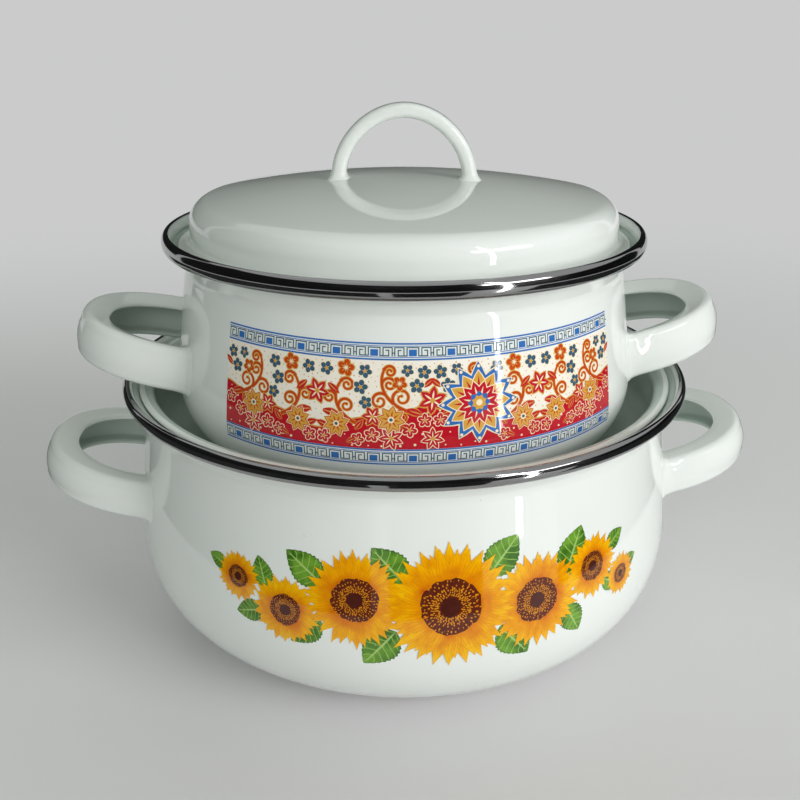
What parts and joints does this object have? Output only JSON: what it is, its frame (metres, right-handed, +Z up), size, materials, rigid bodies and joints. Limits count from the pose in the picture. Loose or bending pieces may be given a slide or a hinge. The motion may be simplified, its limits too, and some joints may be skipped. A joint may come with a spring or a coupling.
{
  "type": "enamelled casserole set",
  "caption": "Nested round enamelled casseroles with strap handles, steel rims and bow-handled lids; the smaller pot stands in the larger one's upturned lid.",
  "frame": {"origin": "centre of the large pot's flat base, on the surface that it stands on", "axes": "+Z up along the pots' common axis; +X towards the right handles; -Y towards the decorated front"},
  "size_m": [0.276, 0.212, 0.1944],
  "materials": {
    "enamel_pot": "glossy white vitreous enamel on pressed steel, with a decorated band on the wall",
    "enamel_lid": "glossy white vitreous enamel on pressed steel",
    "stainless_rim": "polished stainless steel"
  },
  "bodies": {
    "large_pot": {"large_pot_body": "enamel_pot", "large_pot_rim_band": "stainless_rim", "large_pot_handle_left": "enamel_pot", "large_pot_handle_right": "enamel_pot"},
    "large_lid": {"large_lid_shell": "enamel_lid", "large_lid_handle": "enamel_lid"},
    "small_pot": {"small_pot_body": "enamel_pot", "small_pot_rim_band": "stainless_rim", "small_pot_handle_left": "enamel_pot", "small_pot_handle_right": "enamel_pot"},
    "small_lid": {"small_lid_shell": "enamel_lid", "small_lid_handle": "enamel_lid"}
  },
  "joints": [
    {"name": "large_lid_lift", "type": "slide", "parent": "large_pot", "child": "large_lid", "axis": [0, 0, 1], "range_m": [0, 0.07]},
    {"name": "small_pot_lift", "type": "slide", "parent": "large_lid", "child": "small_pot", "axis": [0, 0, 1], "range_m": [0, 0.06]},
    {"name": "small_lid_lift", "type": "slide", "parent": "small_pot", "child": "small_lid", "axis": [0, 0, 1], "range_m": [0, 0.05]}
  ]
}
